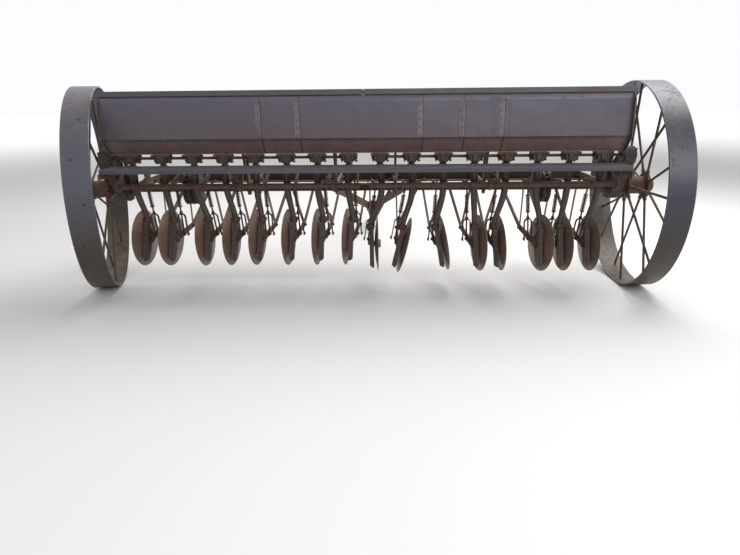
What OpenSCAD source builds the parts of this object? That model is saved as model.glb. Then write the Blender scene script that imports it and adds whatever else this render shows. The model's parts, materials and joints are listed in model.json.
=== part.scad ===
// Sixteen-row disc grain drill on steel wheels, parked on its tongue.
// Millimetres. +X along the box, +Y the way it is towed, +Z up. The origin is on the ground
// under the middle of the whole machine. Outlines are drawn with the axle at Y 0, and
// at_axle() then moves them to the axle's place.

/* [Wheels] */
// Outer diameter of a wheel
wheel_d = 1200; // [1000:10:1400]
// Width of the flat rim
rim_w = 142; // [80:1:180]
// Thickness of the rim
rim_t = 9; // [6:0.5:14]
// Angle that the left wheel has been knocked out of line, its rear edge inwards
left_toe = 15.5; // [0:0.5:16]
// Spokes in one wheel, half from each hub flange
spoke_n = 16; // [12:2:20]
// Diameter of a spoke
spoke_d = 14; // [10:1:20]
// Distance between the rim ends of the two rows of spokes
spoke_spread = 44; // [20:1:60]
// Diameter of the hub's barrel
hub_d = 104; // [90:1:130]
// Length of the hub
hub_len = 170; // [150:1:174]
// Diameter of a hub flange
flange_d = 156; // [140:1:190]
// Thickness of a hub flange
flange_t = 15; // [10:1:20]
// Distance between the middles of a hub's flanges
flange_gap = 112; // [90:1:120]

/* [Axle] */
// Diameter of the axle
axle_d = 48; // [40:1:56]
// Diameter of the collars that keep a wheel on the axle
collar_d = 72; // [64:1:84]
// Width of an outer collar
collar_w = 10; // [6:1:16]
// Gap between a collar and the hub
collar_gap = 1; // [0.5:0.5:3]
// Gap between a gear case and the right hub
hub_room = 16; // [8:1:20]
// Distance of the axle's bend past the left gear case
bend_room = 18; // [17:1:24]
// Distance of the left hub past the axle's bend
bend_gap = 13; // [12:1:20]

/* [Rows] */
// Distance between rows
row_pitch = 177.8; // [170:0.1:190]
// Height of the openers' pivot rod
pivot_z = 545; // [535:1:547]
// Distance of the pivot rod in front of the axle
pivot_y = 440; // [425:1:442]
// Diameter of the pivot rod
pivot_d = 20; // [16:1:24]
// Distance of a drawbar's eye from the middle of its row
eye_dx = 76; // [60:1:77]
// Width of a drawbar's eye
eye_w = 12; // [8:1:13]
// Outer diameter of a drawbar's eye
eye_d = 38; // [32:1:42]
// Height of a drawbar
bar_h = 26; // [20:1:32]
// Thickness of a drawbar
bar_t = 10; // [6:1:12]
// Distance of the drawbars' meeting point in front of the axle
vertex_y = 100; // [60:1:140]
// Height of the drawbars' meeting point
vertex_z = 350; // [330:1:380]
// Distance of the meeting point from the middle of its row
vertex_dx = 40; // [20:1:60]
// Angle that the right openers have sunk below the left ones
right_drop = 5; // [0:0.5:8]

/* [Discs] */
// Diameter of a disc
disc_d = 340; // [300:1:350]
// Thickness of a disc
disc_t = 4; // [3:0.5:6]
// Depth of the disc's dish
disc_dish = 18; // [10:1:24]
// Distance of a disc's middle behind the axle
disc_y = 120; // [100:1:140]
// Height of a disc's middle with the openers raised
disc_z = 315; // [300:1:330]
// Angle of a disc to the line of travel
disc_toe = 7; // [4:0.5:9]
// Gap between a disc and its boot
disc_gap = 5; // [4:0.5:8]
// Diameter of a disc's hub
disc_hub_d = 76; // [60:1:90]
// Diameter of the spindle that a disc turns on
spindle_d = 22; // [16:1:28]
// Length of the spindle past the boot
spindle_len = 30; // [24:1:34]
// Thickness of the bar that carries a boot
tail_t = 8; // [6:1:12]
// Thickness of a boot's body
boot_t = 16; // [12:1:22]
// Outer diameter of the boot's funnel
funnel_d = 54; // [48:1:60]
// Inner diameter of the boot's funnel at its mouth
funnel_bore = 46; // [42:1:48]

/* [Lift] */
// Diameter of the rockshaft
rock_d = 32; // [26:1:38]
// Distance of the rockshaft behind the axle
rock_y = 230; // [225:1:240]
// Height of the rockshaft
rock_z = 640; // [630:1:650]
// Distance of a lift rod behind the axle at its upper end
rod_y = 95; // [80:1:110]
// Height of a lift rod's upper eye with the openers raised
rod_top_z = 690; // [680:1:700]
// Diameter of a lift rod
rod_d = 10; // [8:1:14]
// Distance of a lift rod from the middle of its row
rod_dx = 24; // [20:1:28]
// Distance of a rockshaft arm from the middle of its row
arm_dx = 48; // [46:1:52]
// Thickness of a rockshaft arm
arm_t = 8; // [6:1:9]
// Outer diameter of a pressure spring
spring_d = 26; // [20:1:32]
// Length of a pressure spring
spring_len = 96; // [60:1:120]
// Distance of a lift clutch inside the gap between its rows
clutch_shift = 11; // [6:1:16]
// Width of a lift clutch
clutch_w = 80; // [60:1:84]
// Outer diameter of a lift clutch
clutch_d = 200; // [160:1:210]

/* [Seed box] */
// Distance of an end plate outside the last rows' strip
box_room = 14.6; // [8:0.2:18]
// Thickness of the box's sheets
sheet_t = 3; // [2:0.5:4]
// Thickness of an end plate
end_t = 6; // [4:0.5:10]
// Distance of the rear panel behind the axle
rear_y = 305; // [295:1:312]
// Distance of the front panel in front of the axle
front_y = 75; // [60:1:85]
// Height of the box floor
floor_z = 825; // [820:1:830]
// Height of the fold in the rear panel
fold_z = 910; // [900:1:930]
// Height of the rear panel's top
shoulder_z = 1138; // [1130:1:1142]
// Radius of the rear panel's rounded shoulder
shoulder_r = 35; // [25:1:40]
// Distance of the floor's rear edge behind the axle
floor_rear = 225; // [220:1:228]
// Distance of the floor's front edge behind the axle
floor_front = 155; // [150:1:160]
// Height of the front panel's top
front_z = 1138; // [1130:1:1139]
// How far an end plate stands out behind the rear panel
end_proud = 30; // [20:1:40]
// Width of a strap on the rear panel
strap_w = 26; // [16:1:40]
// Places of the straps, as shares of half the box
strap_at = [-0.399, -0.251, 0.214, 0.371, 0.519];

/* [Lids] */
// Height of the lids' rear edge
lid_z = 1165; // [1162:1:1170]
// Height of the lids' hinge rod
hinge_z = 1143; // [1141:1:1145]
// Distance of the hinge rod in front of the axle
hinge_y = 88; // [87:1:95]
// Diameter of the hinge rod
hinge_d = 10; // [8:1:12]
// Drop of the lids' rear flange
lid_flange = 28; // [20:1:28]
// Distance of the lids' rear edge behind the axle
lid_rear = 292; // [290:1:296]
// Length that a lid stands out past an end plate
lid_over = 20; // [10:1:40]
// Gap between the two lids
lid_gap = 6; // [5:1:12]
// Length of a hinge knuckle
knuckle_len = 50; // [30:1:80]
// Places of the knuckles on the box, as shares of half the box
fixed_at = [0.21, 0.50, 0.79];
// Places of the knuckles on a lid, as shares of half the box
moving_at = [0.28, 0.57, 0.86];

/* [Seed feed] */
// Width of a feed cup at its top
cup_w = 86; // [76:1:100]
// Width of a feed cup at its bottom
cup_low_w = 49; // [44:1:60]
// Depth of a feed cup, front to back
cup_depth = 84; // [70:1:88]
// Distance of a feed cup behind the axle
cup_y = 198; // [190:1:200]
// Height of a feed cup's bottom
cup_low_z = 770; // [762:1:776]
// Height of a feed cup's spout
spout_z = 748; // [742:1:756]
// Diameter of the feed shaft
feed_d = 16; // [12:1:20]
// Height of the feed shaft
feed_z = 798; // [792:1:802]
// Outer diameter of a seed tube at its top
tube_top_d = 40; // [36:1:42]
// Outer diameter of a seed tube at its bottom
tube_low_d = 28; // [26:1:32]
// Wall of a seed tube
tube_wall = 2.5; // [2:0.5:3]
// Windings that show as ridges on a seed tube
tube_ridges = 18; // [10:1:24]

/* [Frame] */
// Height of the front rail
rail_h = 65; // [55:1:75]
// Thickness of the front rail's legs
rail_t = 8; // [6:1:10]
// Height of the front rail's underside
rail_z = 575; // [573:1:580]
// Distance of the front rail's front face in front of the axle
rail_front = 465; // [463:1:468]
// Distance of the front rail's rear edge in front of the axle
rail_rear = 400; // [395:1:404]
// Thickness of an ear that carries the pivot rod
ear_t = 8; // [5:1:8]
// Thickness of a frame bracket
bracket_t = 12; // [8:1:12]
// Distance of the footboard's end inside the end bracket's middle
board_short = 4.4; // [0:0.2:6]
// Depth of the footboard
board_w = 200; // [160:1:205]
// Thickness of the footboard
board_t = 22; // [18:1:30]
// Distance of the footboard's rear edge behind the axle
board_rear = 452; // [440:1:460]
// Height of the footboard's underside
board_z = 738; // [734:1:742]
// Height of a bracket's arm under the footboard
arm_h = 30; // [24:1:40]
// Distance of that arm's front end behind the axle
arm_front = 80; // [60:1:100]
// Length of a bracket's foot on the front rail
foot_len = 90; // [70:1:100]
// Height of a bracket's foot on the front rail
foot_h = 48; // [40:1:56]
// Width of a gear case
case_w = 74; // [60:1:76]
// Radius of a gear case round the axle
case_low_r = 78; // [60:1:90]
// Radius of a gear case round the feed shaft
case_top_r = 48; // [40:1:56]

/* [Hitch] */
// Half the distance between the braces at the rail
brace_dx = 380; // [340:1:420]
// Height of a brace
brace_h = 60; // [50:1:70]
// Thickness of a brace
brace_t = 12; // [8:1:14]
// Height of the braces' middle at the rail
brace_z = 604; // [603:1:608]
// Distance along the slope to where the braces meet the tongue
brace_reach = 1095; // [1000:5:1200]
// Length of a brace along the tongue
brace_lap = 260; // [200:5:320]
// Width of the tongue
tongue_w = 50; // [40:1:60]
// Height of the tongue
tongue_h = 70; // [60:1:76]
// Distance along the slope to the tongue's tip
tongue_reach = 1720; // [1650:5:1800]
// Length of the hitch plate past the tongue
plate_len = 190; // [160:1:220]
// Thickness of the hitch plate
plate_t = 22; // [16:1:28]
// Width of the hitch plate
plate_w = 76; // [70:1:90]
// Diameter of the hitch pin's hole
pin_d = 30; // [24:1:34]

/* [Hidden] */
$fn = 48;
// radial gap of a shaft that turns in its hole
run_gap = 0.1;
// gap of a piece that lies beside its seat
seat_gap = 0.3;
wheel_r = wheel_d / 2;
axle_z = wheel_r;
axle_r = axle_d / 2;

// Sideways swing of each head at its disc, and its lean from upright, from left to right.
// Years of use have bent the drawbars, most of all on the right half.
SWING = 0;
LEAN = 1;
heads = [
    [19, 0], [1, 0], [31, -2], [17, 0], [-3, 1], [8, 0], [6, 0], [4, 1],
    [-49, 0], [-56, 15], [-10, -8], [29, 0], [-26, -3], [53, 4], [-1, 0], [-21, 0]
];
rows = len(heads);
half = rows / 2;
function row_x(i) = (i - (rows - 1) / 2) * row_pitch;
// +1 on the left half and -1 on the right half, whose openers are its mirror image
function side(i) = i < half ? 1 : -1;
function drop(i) = i < half ? 0 : right_drop;
function swing(i) = atan(heads[i][SWING] / (pivot_y + disc_y));

box_end = half * row_pitch + box_room;
box_len = 2 * box_end;
plate_x = box_end + end_t;
case_x = plate_x + case_w / 2;
case_out = plate_x + case_w;

// The right wheel stands square on the axle. The left end of the axle is bent back about
// bend_x, and its wheel with it.
wheel_x = case_out + hub_room + hub_len / 2;
axle_end = wheel_x + hub_len / 2 + collar_gap + collar_w;
bend_x = case_out + bend_room;
bend_len = bend_gap + hub_len / 2;
left_x = bend_x + bend_len * cos(left_toe);
left_y = -bend_len * sin(left_toe);
left_reach = left_x + wheel_r * sin(left_toe) + rim_w / 2 * cos(left_toe);
rear_reach = max(wheel_r, wheel_r * cos(left_toe) + rim_w / 2 * sin(left_toe) - left_y);
axle_x = (left_reach - max(axle_end, wheel_x + rim_w / 2)) / 2;

// Hitch plane: it slopes from the rail down to the ground, where the tip's lower edge rests
tip_low = plate_t / 2;
hitch_slope = asin(brace_z / norm([tongue_reach, tip_low])) - atan(tip_low / tongue_reach);
reach = rail_front + tongue_reach * cos(hitch_slope) + tip_low * sin(hitch_slope);
axle_y = (rear_reach - reach) / 2;

tail_len = vertex_y + disc_y;
head_drop = disc_z - vertex_z;
boot_face = tail_t / 2 + boot_t;
funnel_x = boot_face + disc_gap + 2 - funnel_d / 2;
funnel_y = -tail_len - 30;
funnel_top = head_drop + 128;
rod_pin = [tail_t / 2 + 9, -tail_len * 0.72, head_drop * 0.72];

stand_x = [8, 4, 1];
stands = [for (s = [-1, 1], k = stand_x) s * k * row_pitch];
board_end = half * row_pitch - board_short;
clutch_x = 6 * row_pitch - clutch_shift;

rust = [0.30, 0.20, 0.16];
plum = [0.26, 0.20, 0.20];
iron = [0.24, 0.17, 0.14];
red_iron = [0.42, 0.16, 0.11];
grey_iron = [0.30, 0.28, 0.29];
board_grey = [0.40, 0.39, 0.40];
disc_brown = [0.34, 0.22, 0.18];

module at_axle() {
    translate([axle_x, axle_y, 0]) children();
}

// An outline in Y and Z, as a plate of thickness t across X
module flat_x(t) {
    rotate([90, 0, 90]) linear_extrude(height = t, center = true) children();
}

// An outline in X and Z, as a block of depth t along Y
module flat_y(t) {
    rotate([90, 0, 0]) linear_extrude(height = t, center = true) children();
}

// A round bar along X
module bar_x(r, len) {
    rotate([0, 90, 0]) cylinder(r = r, h = len, center = true);
}

// A shape turned about X, from an outline in radius and X
module turned_x() {
    rotate([0, 90, 0]) rotate_extrude() children();
}

// Two rounds of radius a and b, joined by their tangents
module link(p, q, a, b) {
    way = atan2(q[1] - p[1], q[0] - p[0]);
    lean = acos((a - b) / norm(q - p));
    translate(p) circle(r = a);
    translate(q) circle(r = b);
    polygon([
        p + a * [cos(way + lean), sin(way + lean)], p + a * [cos(way - lean), sin(way - lean)],
        q + b * [cos(way - lean), sin(way - lean)], q + b * [cos(way + lean), sin(way + lean)]
    ]);
}

// A straight strip from p to q, of width a at p and b at q
module strip(p, q, a, b) {
    out = left(unit(q - p)) / 2;
    polygon([p + a * out, p - a * out, q - b * out, q + b * out]);
}

// Children drawn up the Z axis, laid along the line from p to q
module along(p, q) {
    d = q - p;
    translate(p) rotate([0, acos(d[2] / norm(d)), atan2(d[1], d[0])]) children();
}

// The outline of a folded sheet of thickness t, on the left of a line of points
function unit(v) = v / norm(v);
function left(v) = [-v[1], v[0]];
function normals(p) = [for (i = [0 : len(p) - 2]) left(unit(p[i + 1] - p[i]))];
function mitre(n, i) =
    i == 0 ? n[0]
    : i == len(n) ? n[i - 1]
    : (n[i - 1] + n[i]) / (1 + n[i - 1] * n[i]);
function sheet(p, t) = let (n = normals(p), last = len(p) - 1)
    concat(p, [for (i = [last : -1 : 0]) p[i] + t * mitre(n, i)]);

function turn_x(v, a) = [v[0], v[1] * cos(a) - v[2] * sin(a), v[1] * sin(a) + v[2] * cos(a)];
function turn_y(v, a) = [v[0] * cos(a) + v[2] * sin(a), v[1], v[2] * cos(a) - v[0] * sin(a)];
function turn_z(v, a) = [v[0] * cos(a) - v[1] * sin(a), v[0] * sin(a) + v[1] * cos(a), v[2]];

// Where a point of head i lies: in the gang, raised, and in the drill as it stands
function in_gang(i, p) =
    let (at_vertex = turn_z(turn_y(p, heads[i][LEAN]), -side(i) * disc_toe),
         from_pivot = at_vertex + [side(i) * vertex_dx, vertex_y - pivot_y, vertex_z])
    turn_z(from_pivot, swing(i)) + [row_x(i), pivot_y, 0];
function dropped(i, p) =
    turn_x(p - [0, pivot_y, pivot_z], drop(i)) + [0, pivot_y, pivot_z];

module on_gang(i) {
    translate([0, pivot_y, pivot_z]) rotate([drop(i), 0, 0]) translate([0, -pivot_y, -pivot_z])
        children();
}

module at_head(i) {
    translate([row_x(i), pivot_y, 0]) rotate([0, 0, swing(i)])
        translate([side(i) * vertex_dx, vertex_y - pivot_y, vertex_z])
        rotate([0, 0, -side(i) * disc_toe]) rotate([0, heads[i][LEAN], 0])
        children();
}

// Wheels

// Where the wheel on side s turns, about X
module at_wheel(s) {
    if (s > 0) at_axle() translate([wheel_x, 0, axle_z]) children();
    else at_axle() translate([-bend_x, 0, axle_z]) rotate([0, 0, left_toe]) translate([-bend_len, 0, 0])
        children();
}

module rim_ring() {
    turned_x() difference() {
        translate([wheel_r - rim_t, -rim_w / 2]) square([rim_t, rim_w]);
        for (s = [-1, 1])
            translate([wheel_r, s * rim_w / 2]) rotate(45) square(4, center = true);
    }
}

module wheel_rim(s) {
    color(grey_iron) at_wheel(s) rim_ring();
}

module hub_body() {
    barrel_r = hub_d / 2;
    nose_r = barrel_r - 8;
    difference() {
        turned_x() {
            translate([0, -hub_len / 2]) square([nose_r, hub_len]);
            translate([0, -flange_gap / 2]) square([barrel_r, flange_gap]);
            for (s = [-1, 1])
                translate([0, s * flange_gap / 2 - flange_t / 2]) square([flange_d / 2, flange_t]);
        }
        bar_x(axle_r + run_gap, hub_len + 2);
    }
}

module spokes(s) {
    for (k = [0 : spoke_n - 1]) {
        row = k % 2 == 0 ? -1 : 1;
        a = k * 360 / spoke_n;
        ray = [0, sin(a), cos(a)];
        p = [s * row * flange_gap / 2, 0, 0] + ray * (flange_d / 2 - 20);
        q = [s * row * spoke_spread / 2, 0, 0] + ray * (wheel_r - rim_t - 1);
        along(p, q) cylinder(d = spoke_d, h = norm(q - p));
    }
}

module wheel_hub(s) {
    color(red_iron) at_wheel(s) {
        hub_body();
        spokes(s);
    }
}

// Axle and what sits on it

module collar(x, r, w) {
    translate([x, 0, 0]) bar_x(r, w);
}

module axle() {
    hub_half = hub_len / 2 + collar_gap;
    elbow = axle_r * tan(left_toe / 2) + 1;
    stub = bend_len + hub_half + collar_w;
    color(iron) at_axle() translate([0, 0, axle_z]) {
        translate([(axle_end - bend_x - elbow) / 2, 0, 0]) bar_x(axle_r, axle_end + bend_x + elbow);
        collar(wheel_x + hub_half + collar_w / 2, collar_d / 2, collar_w);
        collar((case_out + wheel_x - hub_half) / 2, collar_d / 2, wheel_x - hub_half - case_out);
    }
    color(iron) at_wheel(-1) {
        translate([bend_len - (stub - elbow) / 2, 0, 0]) bar_x(axle_r, stub + elbow);
        collar(-hub_half - collar_w / 2, collar_d / 2, collar_w);
        collar(hub_half + 3, collar_d / 2 - 4, 6);
    }
}

module gear_cases() {
    color(iron) at_axle() for (s = [-1, 1]) translate([s * case_x, 0, 0]) difference() {
        union() {
            flat_x(case_w - 16) link([0, axle_z], [-cup_y, feed_z], case_low_r, case_top_r);
            flat_x(case_w) link([0, axle_z], [-cup_y, feed_z], case_low_r - 10, case_top_r - 10);
        }
        translate([0, 0, axle_z]) bar_x(axle_r + run_gap, case_w + 2);
        translate([-s * case_w / 2, -cup_y, feed_z]) bar_x(feed_d / 2 + run_gap, case_w);
    }
}

module lift_clutches() {
    r = clutch_d / 2;
    color(rust) at_axle() for (s = [-1, 1]) translate([s * clutch_x, 0, axle_z]) difference() {
        turned_x() {
            translate([0, -clutch_w / 2]) square([r - 16, clutch_w]);
            for (y = [-clutch_w / 2, -7, clutch_w / 2 - 14])
                translate([0, y]) square([r, 14]);
        }
        bar_x(axle_r + run_gap, clutch_w + 2);
    }
}

// Frame

module bracket_outline() {
    low = [-floor_front + 30, floor_z + 8];
    top = low + [100, 100];
    difference() {
        union() {
            translate([0, axle_z]) circle(r = 46);
            link([0, axle_z], [rail_rear - foot_len + 10, rail_z + rail_t + foot_h / 2], 28, 24);
            translate([rail_rear - foot_len, rail_z + rail_t])
                square([rail_front - rail_t - rail_rear + foot_len, foot_h]);
            link([0, axle_z], low, 24, 11);
            link(low, top, 14, 14);
            link([10, axle_z], top, 18, 11);
            translate([-board_rear, board_z - arm_h]) square([board_rear - arm_front, arm_h]);
            translate([-rock_y, rock_z]) circle(r = 32);
            link([-rock_y, rock_z], [90 - rock_y, board_z - arm_h / 2], 20, 15);
        }
        translate([0, axle_z]) circle(r = axle_r + run_gap);
        translate([-rock_y, rock_z]) circle(r = rock_d / 2 + run_gap);
    }
}

module frame_brackets() {
    color(rust) at_axle() for (x = stands) translate([x, 0, 0]) flat_x(bracket_t) bracket_outline();
}

module front_rail() {
    rail_len = rows * row_pitch + bracket_t + 4;
    color(rust) at_axle() {
        flat_x(rail_len) {
            translate([rail_front - rail_t, rail_z]) square([rail_t, rail_h]);
            translate([rail_rear, rail_z]) square([rail_front - rail_rear, rail_t]);
        }
        for (k = [0 : rows]) translate([(k - half) * row_pitch, 0, 0]) flat_x(ear_t) difference() {
            union() {
                translate([pivot_y, pivot_z]) circle(r = 21);
                translate([pivot_y - 21, pivot_z]) square([42, rail_z - pivot_z]);
            }
            translate([pivot_y, pivot_z]) circle(d = pivot_d);
        }
    }
}

module pivot_rod() {
    color(iron) at_axle() translate([0, pivot_y, pivot_z]) bar_x(pivot_d / 2, rows * row_pitch + 24);
}

module footboard() {
    color(board_grey) at_axle() translate([-board_end, -board_rear, board_z])
        cube([2 * board_end, board_w, board_t]);
}

// Hitch

module in_hitch() {
    at_axle() translate([0, rail_front, brace_z]) rotate([-hitch_slope, 0, 0]) children();
}

module hitch_brace(s) {
    inner = tongue_w / 2;
    color(rust) intersection() {
        in_hitch() linear_extrude(height = brace_h, center = true)
            mirror([s < 0 ? 1 : 0, 0])
            polygon(sheet([[brace_dx, -30], [inner, brace_reach], [inner, brace_reach + brace_lap]],
                          -brace_t));
        at_axle() translate([-2 * brace_dx, rail_front, -brace_z])
            cube([4 * brace_dx, tongue_reach, 3 * brace_z]);
    }
}

module tongue() {
    tail = brace_reach - 30;
    color(rust) in_hitch() difference() {
        union() {
            translate([-tongue_w / 2, tail, -tongue_h / 2])
                cube([tongue_w, tongue_reach - plate_len - tail, tongue_h]);
            translate([0, 0, -plate_t / 2]) linear_extrude(height = plate_t) {
                translate([-plate_w / 2, tongue_reach - plate_len - 60])
                    square([plate_w, plate_len + 60 - plate_w / 2]);
                translate([0, tongue_reach - plate_w / 2]) circle(d = plate_w);
            }
        }
        translate([0, tongue_reach - plate_w / 2, -50]) cylinder(d = pin_d, h = 100);
    }
}

// Seed box

rear_line = concat(
    [for (a = [90 : 15 : 180]) [shoulder_r - rear_y, shoulder_z - shoulder_r] + shoulder_r * [cos(a), sin(a)]],
    [[-rear_y, fold_z], [-floor_rear, floor_z]]
);
slope_h = front_y + floor_front;
front_line = [[-floor_front, floor_z], [front_y, floor_z + slope_h], [front_y, front_z]];

module box_rear() {
    color(plum) at_axle() {
        flat_x(box_len) polygon(sheet(rear_line, sheet_t));
        for (k = strap_at) translate([k * box_end - strap_w / 2, -rear_y - 2, fold_z + 4])
            cube([strap_w, 2, shoulder_z - shoulder_r - fold_z - 8]);
    }
}

module box_front() {
    color(plum) at_axle() {
        flat_x(box_len) polygon(sheet(front_line, sheet_t));
        for (s = [-1, 1], k = fixed_at) translate([s * k * box_end, 0, 0]) flat_x(knuckle_len)
            difference() {
                link([hinge_y, hinge_z], [front_y + 3, front_z - 40], 9, 4);
                translate([hinge_y, hinge_z]) circle(d = hinge_d);
            }
    }
}

module box_floor() {
    color(plum) at_axle() difference() {
        translate([-box_len / 2, -floor_rear - 7, floor_z - sheet_t])
            cube([box_len, floor_rear - floor_front + 14, sheet_t]);
        for (i = [0 : rows - 1]) translate([row_x(i) - 31, -cup_y - 20, floor_z - 10])
            cube([62, 36, 20]);
    }
}

module box_end(s) {
    lid_under = lid_z - sheet_t - 4;
    back = -rear_y - end_proud;
    color(grey_iron) at_axle() translate([s * (box_end + end_t / 2), 0, 0]) flat_x(end_t)
        polygon([
            [back, shoulder_z - 38], [back, fold_z - 4], [-floor_rear - 26, floor_z - 12],
            [-floor_front + 14, floor_z - 12], [front_y, floor_z + slope_h - 12],
            [front_y, front_z + 3], [-lid_rear + 9, lid_under], [-lid_rear + 9, shoulder_z - 7],
            [back + 14, shoulder_z - 13]
        ]);
}

// Lids

module lid(s) {
    len = box_end + end_t + lid_over - lid_gap / 2;
    fold = [[hinge_y - 14, hinge_z + 7], [-lid_rear, lid_z], [-lid_rear, lid_z - lid_flange]];
    color(plum) at_axle() {
        translate([s * (lid_gap + len) / 2, 0, 0]) flat_x(len) polygon(sheet(fold, sheet_t));
        for (k = moving_at) translate([s * k * box_end, 0, 0]) flat_x(knuckle_len) difference() {
            union() {
                translate([hinge_y, hinge_z]) circle(r = 9);
                link([hinge_y, hinge_z], [hinge_y - 22, hinge_z + 5.5], 4, 2);
            }
            translate([hinge_y, hinge_z]) circle(r = hinge_d / 2 + run_gap);
        }
    }
}

module hinge_rod() {
    color(iron) at_axle() translate([0, hinge_y, hinge_z]) bar_x(hinge_d / 2, box_len);
}

// Seed feed

module feed_cup() {
    top = floor_z - sheet_t;
    difference() {
        union() {
            translate([0, -cup_y, 0]) flat_y(cup_depth)
                polygon([[-cup_w / 2, top], [-cup_low_w / 2, cup_low_z],
                         [cup_low_w / 2, cup_low_z], [cup_w / 2, top]]);
            translate([0, -cup_y, feed_z]) bar_x(floor_z - sheet_t - feed_z - 1, cup_w - 12);
            translate([0, -cup_y, spout_z]) cylinder(r = 17, h = cup_low_z - spout_z + 1);
        }
        translate([0, -cup_y, feed_z]) bar_x(feed_d / 2 + run_gap, cup_w + 10);
        translate([0, -cup_y, spout_z - 1]) cylinder(r = 11, h = 30);
    }
}

module feed_cups() {
    color(iron) at_axle() for (i = [0 : rows - 1]) translate([row_x(i), 0, 0]) feed_cup();
}

module feed_shafts() {
    inner = row_pitch / 2 - cup_w / 2 - 6;
    outer = plate_x + case_w / 2 - 2;
    color(iron) at_axle() for (s = [-1, 1])
        translate([s * (inner + outer) / 2, -cup_y, feed_z]) bar_x(feed_d / 2, outer - inner);
}

// A tapered tube of wound ribbon, from its top p down to q
module tube_skin(p, q) {
    h = norm(q - p);
    step = h / tube_ridges;
    top_r = tube_top_d / 2;
    taper = (tube_low_d / 2 - top_r) / h;
    ridges = [for (k = [0 : tube_ridges - 1])
        each [[top_r + taper * k * step, k * step], [top_r + taper * k * step + 1.2, (k + 0.5) * step]]];
    along(p, q) rotate_extrude() polygon(concat([[0, 0]], ridges, [[tube_low_d / 2, h], [0, h]]));
}

module seed_tubes(first) {
    bore = tube_low_d / 2 - tube_wall;
    color(grey_iron) at_axle() for (i = [first : first + half - 1]) {
        mouth = [-side(i) * funnel_x, funnel_y, funnel_top - 8];
        top = [row_x(i), -cup_y, spout_z - 9];
        low = dropped(i, in_gang(i, mouth));
        way = unit(low - top);
        difference() {
            union() {
                tube_skin(top, low);
                difference() {
                    translate(top) sphere(r = tube_top_d / 2 + 5);
                    translate([row_x(i) - 50, -cup_y - 50, spout_z]) cube([100, 100, 50]);
                }
            }
            translate(top) sphere(r = bore + 2);
            along(top, low + 2 * way) cylinder(r = bore, h = norm(low - top) + 4);
            translate(top) cylinder(r = bore, h = 20);
        }
    }
}

// Openers

module drawbar(eye, vertex) {
    d = vertex - eye;
    run = norm([d[0], d[1]]);
    translate(eye) rotate([0, 0, atan2(d[0], -d[1])])
        flat_x(bar_t) strip([0, 0], [-run, d[2]], bar_h, bar_h);
    translate(eye) bar_x(eye_d / 2, eye_w);
}

module drawbars(first) {
    color(iron) at_axle() for (i = [first : first + half - 1]) on_gang(i) {
        vertex = in_gang(i, [0, 0, 0]);
        difference() {
            union() {
                for (s = [-1, 1]) drawbar([row_x(i) + s * eye_dx, pivot_y, pivot_z], vertex);
                at_head(i) {
                    flat_x(tail_t) strip([22, 3], [-tail_len - 24, head_drop], bar_h + 8, 40);
                    translate([side(i) * rod_pin[0], rod_pin[1], rod_pin[2]]) bar_x(7, 20);
                }
            }
            translate([row_x(i), pivot_y, pivot_z]) bar_x(pivot_d / 2 + run_gap, row_pitch);
        }
    }
}

module boot_outline() {
    polygon([
        [34, 24], [6, 52], [-6, 104], [-54, 104], [-70, 30],
        [-104, -92], [-92, -124], [-60, -126], [-36, -96], [-4, -34], [34, -24]
    ]);
}

module boots(first) {
    color(iron) at_axle() for (i = [first : first + half - 1]) on_gang(i) at_head(i) {
        s = side(i);
        mid = -s * (tail_t + boot_t) / 2;
        translate([mid, -tail_len, head_drop]) flat_x(boot_t) boot_outline();
        translate([-s * funnel_x, funnel_y, funnel_top - 34]) difference() {
            union() {
                cylinder(r1 = 18, r2 = funnel_d / 2, h = 24);
                translate([0, 0, 24]) cylinder(d = funnel_d, h = 10);
            }
            translate([0, 0, 6]) cylinder(r1 = 12, r2 = funnel_bore / 2, h = 18.01);
            translate([0, 0, 24]) cylinder(d = funnel_bore, h = 20);
        }
        translate([-s * (boot_face + spindle_len / 2 - 2), -tail_len, head_drop])
            bar_x(spindle_d / 2, spindle_len + 4);
        translate([-s * (boot_face + (disc_gap - 1) / 2 - 1), -tail_len, head_drop])
            bar_x(spindle_d / 2 + 8, disc_gap + 1);
    }
}

ball_r = (disc_d * disc_d / 4 + disc_dish * disc_dish) / (2 * disc_dish);
function dish(r) = ball_r - sqrt(ball_r * ball_r - r * r);

// A dished disc about Z, hollow upwards, with its hub and dust cap in the hollow
module disc_body() {
    steps = 7;
    bore_r = spindle_d / 2 + run_gap;
    radii = [for (k = [0 : steps]) bore_r + (disc_d / 2 - bore_r) * k / steps];
    edge_t = disc_t / 2;
    under = [for (r = radii) [r, dish(r)]];
    over = [for (k = [steps : -1 : 0]) [radii[k], dish(radii[k]) + (k == steps ? edge_t : disc_t)]];
    cup_top = spindle_len - disc_gap + 6;
    rotate_extrude() polygon(concat(under, over));
    difference() {
        union() {
            translate([0, 0, 1]) cylinder(d = disc_hub_d, h = 13);
            translate([0, 0, 10]) cylinder(d1 = disc_hub_d - 16, d2 = disc_hub_d - 30, h = cup_top - 4);
        }
        translate([0, 0, -1]) cylinder(r = bore_r, h = cup_top - 2);
    }
}

module disc(i) {
    s = side(i);
    color(disc_brown) at_axle() on_gang(i) at_head(i)
        translate([-s * (boot_face + disc_gap), -tail_len, head_drop])
        rotate([0, -s * 90, 0]) disc_body();
}

// Lift

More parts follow.
